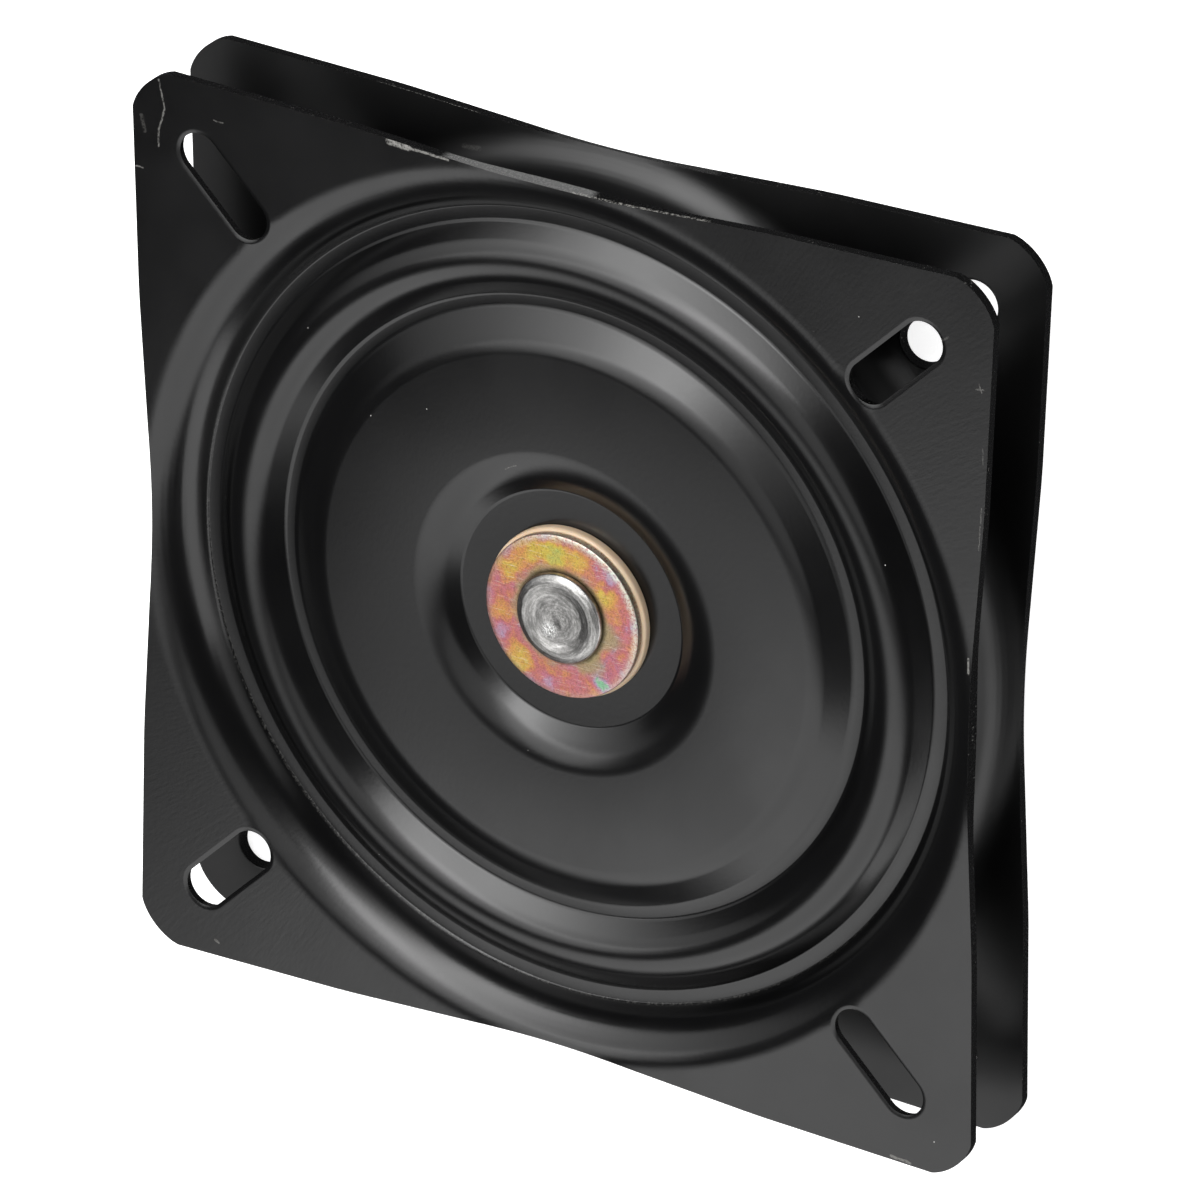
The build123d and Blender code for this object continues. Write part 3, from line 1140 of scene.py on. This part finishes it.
def yellow_zinc_finish():
    """Passivated zinc with interference colours, fine scratches, a margin worn to grey specks with a
    painted highlight on one side, and a painted shadow with some grime round the rivet's head.
    """
    material, tree, shader = new_material("yellow_zinc_finish")
    place = object_place(tree)
    reach = axis_distance(tree, place)
    blotch = noise_value(tree, place, 5.0 * mm, 3.0, 0.55, 0.8)
    mottle = noise_value(tree, place, 1.4 * mm, 4.0, 0.7)
    grain = noise_value(tree, place, 0.38 * mm, 4.0, 0.8)
    level = level_place(tree, place, film_wander, film_grain)
    film = ranged(tree, blotch, 0.3, 0.7, 0.50, 0.84)
    for centre, radius, target in film_spots:
        film = pulled(tree, film, soft_spot(tree, level, centre, 0.2 * radius, radius), target)
    film = times_plus(tree, math_value(tree, "SUBTRACT", mottle, 0.5), 0.36, film)
    colour = ramped(
        tree, film,
        (0.18, (0.43, 0.47, 0.14)),
        (0.32, (0.62, 0.47, 0.09)),
        (0.48, (0.64, 0.31, 0.11)),
        (0.62, (0.55, 0.19, 0.165)),
        (0.76, (0.51, 0.18, 0.235)),
        (0.88, (0.45, 0.33, 0.46)),
        (0.97, (0.25, 0.51, 0.31)),
    )
    for centre, radius in khaki_spots:
        khaki = soft_spot(tree, level, centre, max(radius - 2.6, 0.2), radius)
        colour = mixed(tree, times(tree, khaki, 0.85), colour, (0.36, 0.32, 0.17, 1))
    cloth = noise_value(tree, stretched(tree, place, (16, 1, 1), math.radians(-48)), 3.2 * mm, 3.0, 0.75)
    scratched = ranged(tree, blotch, 0.35, 0.6, 0.2, 0.6)
    scratch = times(tree, ranged(tree, cloth, 0.58, 0.66), scratched)
    # Margin: worn to grey specks, with a painted highlight that makes it lighter and greener towards one
    # side.
    uneven_reach = times_plus(tree, mottle, 1.6 * mm, reach)
    edge = ranged(tree, uneven_reach, margin_start, margin_end)
    side = measured(tree, "DOT_PRODUCT", place, highlight_side)
    window = ranged(tree, side, -6 * mm, 14 * mm, 0.25, 1.0)
    rubbed_and_lit = times(tree, edge, window)
    rubbed_and_lit = times(tree, rubbed_and_lit, ranged(tree, grain, 0.40, 0.56, 0.15, 0.95))
    speckle = ranged(tree, grain, 0.34, 0.60, 0.72, 1.06)
    colour = mixed(tree, 1.0, colour, speckle, "MULTIPLY")
    colour = mixed(tree, scratch, colour, (0.72, 0.70, 0.60, 1))
    colour = mixed(tree, rubbed_and_lit, colour, (0.56, 0.64, 0.53, 1))
    pitted = ranged(tree, edge, 0, 1, 0.45, 0.8)
    pits = times(tree, ranged(tree, grain, 0.42, 0.34), pitted)
    colour = mixed(tree, pits, colour, (0.12, 0.10, 0.07, 1))
    # A dark ring round the rivet's head: painted shadow of the head's overhang, with some dirt.
    shadow_and_dirt_reach = times_plus(tree, mottle, 0.8 * mm, reach)
    dark_ring = ranged(tree, shadow_and_dirt_reach, shadow_and_dirt_start, shadow_and_dirt_end, 0.8, 0.0, True)
    colour = mixed(tree, dark_ring, colour, (0.06, 0.045, 0.025, 1))
    feed(tree, shader, Base_Color=colour, Roughness=ranged(tree, mottle, 0.3, 0.7, 0.30, 0.44))
    bumped(tree, shader, times_plus(tree, cloth, 0.6, grain), 0.6, 0.1 * mm)
    shader.inputs["Metallic"].default_value = 0.92
    return material


yellow_zinc = yellow_zinc_finish()
print("made", yellow_zinc.name)

# %% [markdown]
# ## The washer
# The washer was stamped, so its upper edge is drawn down a little, and its face isn't quite even.

# %% Spin the washer
washer_bore_radius = 7.2
washer_radius = 16.0
washer_line_step = 0.35 * mm
washer_dip = 0.02 * mm
washer_dip_size = 3 * mm
washer_under = washer_low.z / mm
washer_top = washer_high.z / mm
washer_points = [
    (washer_bore_radius, washer_under),
    (washer_radius, washer_under),
    (washer_radius, washer_top - 0.1),
    (washer_radius - 0.8, washer_top),
    (washer_bore_radius, washer_top),
    (washer_bore_radius, washer_under),
]
washer_bends = [0.12, 0.25, 2.0, 0.15]
bm = spin_section(washer_points, washer_bends, washer_line_step, washer_low.z + 0.05 * mm)
for vertex in bm.verts:
    if vertex.co.z > washer_high.z - 0.3 * mm:
        vertex.co.z -= washer_dip * abs(noise.noise(vertex.co / washer_dip_size))
head_washer = new_object("washer_stamped", bm, yellow_zinc)
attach(head_washer, "base")
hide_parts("head_washer")
print("washer faces", len(head_washer.data.polygons))

# %% [markdown]
# ## Tan plastic
# The bush is moulded in a tan bearing plastic. Light enters it a little way before it comes back,
# so the shader has some subsurface scattering, and the surface is smooth with a faint mould grain
# and a rounded rim.

# %% Mould the bush


def tan_plastic_finish():
    """Tan moulded plastic with soft clouds of colour."""
    material, tree, shader = new_material("tan_plastic_finish")
    place = object_place(tree)
    cloud = noise_value(tree, place, 5 * mm, 3.0)
    colour = ramped(tree, cloud, (0.3, (0.62, 0.46, 0.31)), (0.7, (0.70, 0.54, 0.38)))
    grain = noise_value(tree, place, 0.4 * mm, 3.0)
    feed(tree, shader, Base_Color=colour, Roughness=ranged(tree, grain, 0.3, 0.7, 0.30, 0.42))
    bumped(tree, shader, grain, 0.15, 0.03 * mm)
    shader.inputs["Subsurface Weight"].default_value = 0.25
    shader.inputs["Subsurface Radius"].default_value = (0.9 * mm, 0.5 * mm, 0.25 * mm)
    shader.inputs["Subsurface Scale"].default_value = 1.0
    return material


tan_plastic = tan_plastic_finish()
flange_under = (seat_high.z - floor_depth) / mm
sleeve_end = bush_low.z / mm
flange_top = bush_high.z / mm
bush_bore_radius = 7.06
sleeve_radius = 9.26
bush_flange_radius = 16.6
bush_points = [
    (bush_bore_radius, sleeve_end),
    (sleeve_radius, sleeve_end),
    (sleeve_radius, flange_under),
    (bush_flange_radius, flange_under),
    (bush_flange_radius, flange_top),
    (bush_bore_radius, flange_top),
    (bush_bore_radius, sleeve_end),
]
bm = spin_section(bush_points, [0.2, 0, 0.25, 0.7, 0.2])
bush = new_object("bush_moulded", bm, tan_plastic)
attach(bush, "seat")
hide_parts("flanged_bush")
print("bush faces", len(bush.data.polygons))

# %% [markdown]
# ## Balls, retainer and thrust washer
# These stay as the solids made them, and get a finish each: bright polished balls with a film of
# grease, a rolled steel retainer, and the thrust washer's dull plastic.

# %% Finish the bearing


def bearing_finish(name, dark, light, metallic, roughness, blotch):
    """A bearing piece's finish: its colour and gloss vary in soft blotches."""
    material, tree, shader = new_material(name)
    place = object_place(tree)
    cloud = noise_value(tree, place, blotch, 4.0, 0.6, 0.4)
    grain = noise_value(tree, place, 0.5 * mm, 3.0)
    feed(
        tree, shader,
        Base_Color=ramped(tree, cloud, (0.3, dark), (0.7, light)),
        Roughness=ranged(tree, cloud, 0.3, 0.7, roughness, roughness + 0.15),
    )
    bumped(tree, shader, grain, 0.2, 0.03 * mm)
    shader.inputs["Metallic"].default_value = metallic
    return material


bearing_looks = {
    "bearing_balls": ("ball_steel_finish", (0.52, 0.51, 0.50), (0.66, 0.66, 0.66), 1.0, 0.12, 3 * mm),
    "ball_retainer": ("retainer_finish", (0.30, 0.30, 0.31), (0.48, 0.47, 0.46), 1.0, 0.32, 6 * mm),
    "thrust_washer": ("thrust_finish", (0.56, 0.33, 0.16), (0.66, 0.41, 0.21), 0.0, 0.40, 5 * mm),
}
for node, look in bearing_looks.items():
    finish = bearing_finish(*look)
    for material_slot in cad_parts[node].material_slots:
        material_slot.material = finish
print("finished", sorted(bearing_looks))
